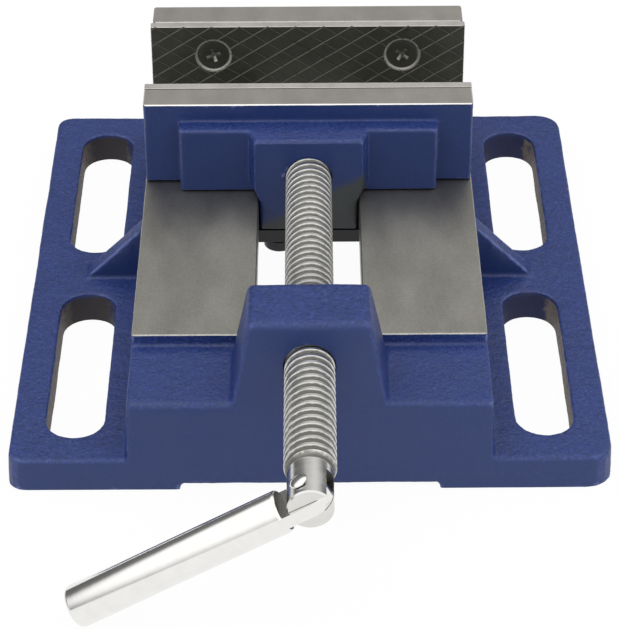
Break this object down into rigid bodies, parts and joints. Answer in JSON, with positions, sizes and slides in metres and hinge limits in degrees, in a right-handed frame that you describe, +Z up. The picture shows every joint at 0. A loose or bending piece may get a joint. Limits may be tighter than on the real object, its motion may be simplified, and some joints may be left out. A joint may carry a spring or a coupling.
{
  "type": "drill press vise",
  "caption": "Flat slotted cast vise with a screw-driven sliding jaw, hard jaw plates and a folding handle, for clamping work on a drill press table.",
  "frame": {"origin": "middle of the vise's bounding box, on the surface that its base stands on", "axes": "+X to the right seen from the handle, +Y from the handle towards the fixed jaw, +Z up"},
  "size_m": [0.1704, 0.2516, 0.0591],
  "materials": {
    "blue_enamel": "blue enamel over cast iron, ways ground bare",
    "hardened_steel": "blackened, ground on the edges",
    "screw_steel": "dull",
    "dark_steel": "black oxide",
    "zinc_plated_steel": "bright zinc plated"
  },
  "bodies": {
    "base": {"base_casting": "blue_enamel", "fixed_jaw_plate": "hardened_steel", "fixed_jaw_screw_left": "screw_steel", "fixed_jaw_screw_right": "screw_steel"},
    "moving_jaw": {"moving_jaw": "blue_enamel", "moving_jaw_plate": "hardened_steel", "moving_jaw_screw_left": "screw_steel", "moving_jaw_screw_right": "screw_steel", "keeper_plate": "dark_steel", "keeper_screw_front": "dark_steel", "keeper_screw_rear": "dark_steel", "keeper_washer_front": "dark_steel", "keeper_washer_rear": "dark_steel", "retaining_pin_left": "screw_steel", "retaining_pin_right": "screw_steel"},
    "lead_screw": {"lead_screw": "zinc_plated_steel", "handle_rivet": "zinc_plated_steel"},
    "handle": {"handle_bar": "zinc_plated_steel"}
  },
  "joints": [
    {"name": "jaw_slide", "type": "slide", "parent": "base", "child": "moving_jaw", "axis": [0, 1, 0], "range_m": [-0.0721, 0.0361]},
    {"name": "screw_turn", "type": "hinge", "parent": "moving_jaw", "child": "lead_screw", "pos_m": [0, 0, 0.04], "axis": [0, 1, 0], "range_deg": [-8640, 4320]},
    {"name": "handle_fold", "type": "hinge", "parent": "lead_screw", "child": "handle", "pos_m": [0, -0.11818, 0.04], "axis": [-0.4894, 0, 0.8721], "range_deg": [-6.5, 183.5]}
  ],
  "couplings": [
    {"joint": "jaw_slide", "follows": "screw_turn", "m_per_rad": 0.00047746}
  ]
}
